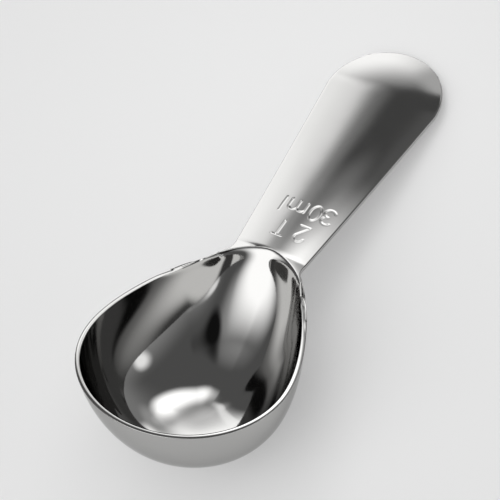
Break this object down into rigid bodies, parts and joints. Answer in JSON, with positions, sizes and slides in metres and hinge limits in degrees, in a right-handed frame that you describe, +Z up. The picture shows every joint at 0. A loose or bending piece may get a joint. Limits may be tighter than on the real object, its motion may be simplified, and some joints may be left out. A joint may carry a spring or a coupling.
{
  "type": "measuring spoon",
  "caption": "Polished steel measuring spoon pressed from one sheet, with a deep egg shaped bowl, a level rim and a broad crowned handle that widens to a rounded tip",
  "frame": {"origin": "middle of the bounding box on the surface that the spoon lies on", "axes": "+Z up, +Y along the spoon from the bowl to the handle tip, +X across it; the spoon lies at rest on the underside of its bowl and on the end of its handle, so its rim leans down towards the handle by 17.6 degrees"},
  "size_m": [0.0504, 0.1196, 0.0318],
  "materials": {
    "polished_steel": "mirror polished stainless steel"
  },
  "bodies": {
    "root": {"bowl": "polished_steel", "handle": "polished_steel"}
  },
  "joints": []
}
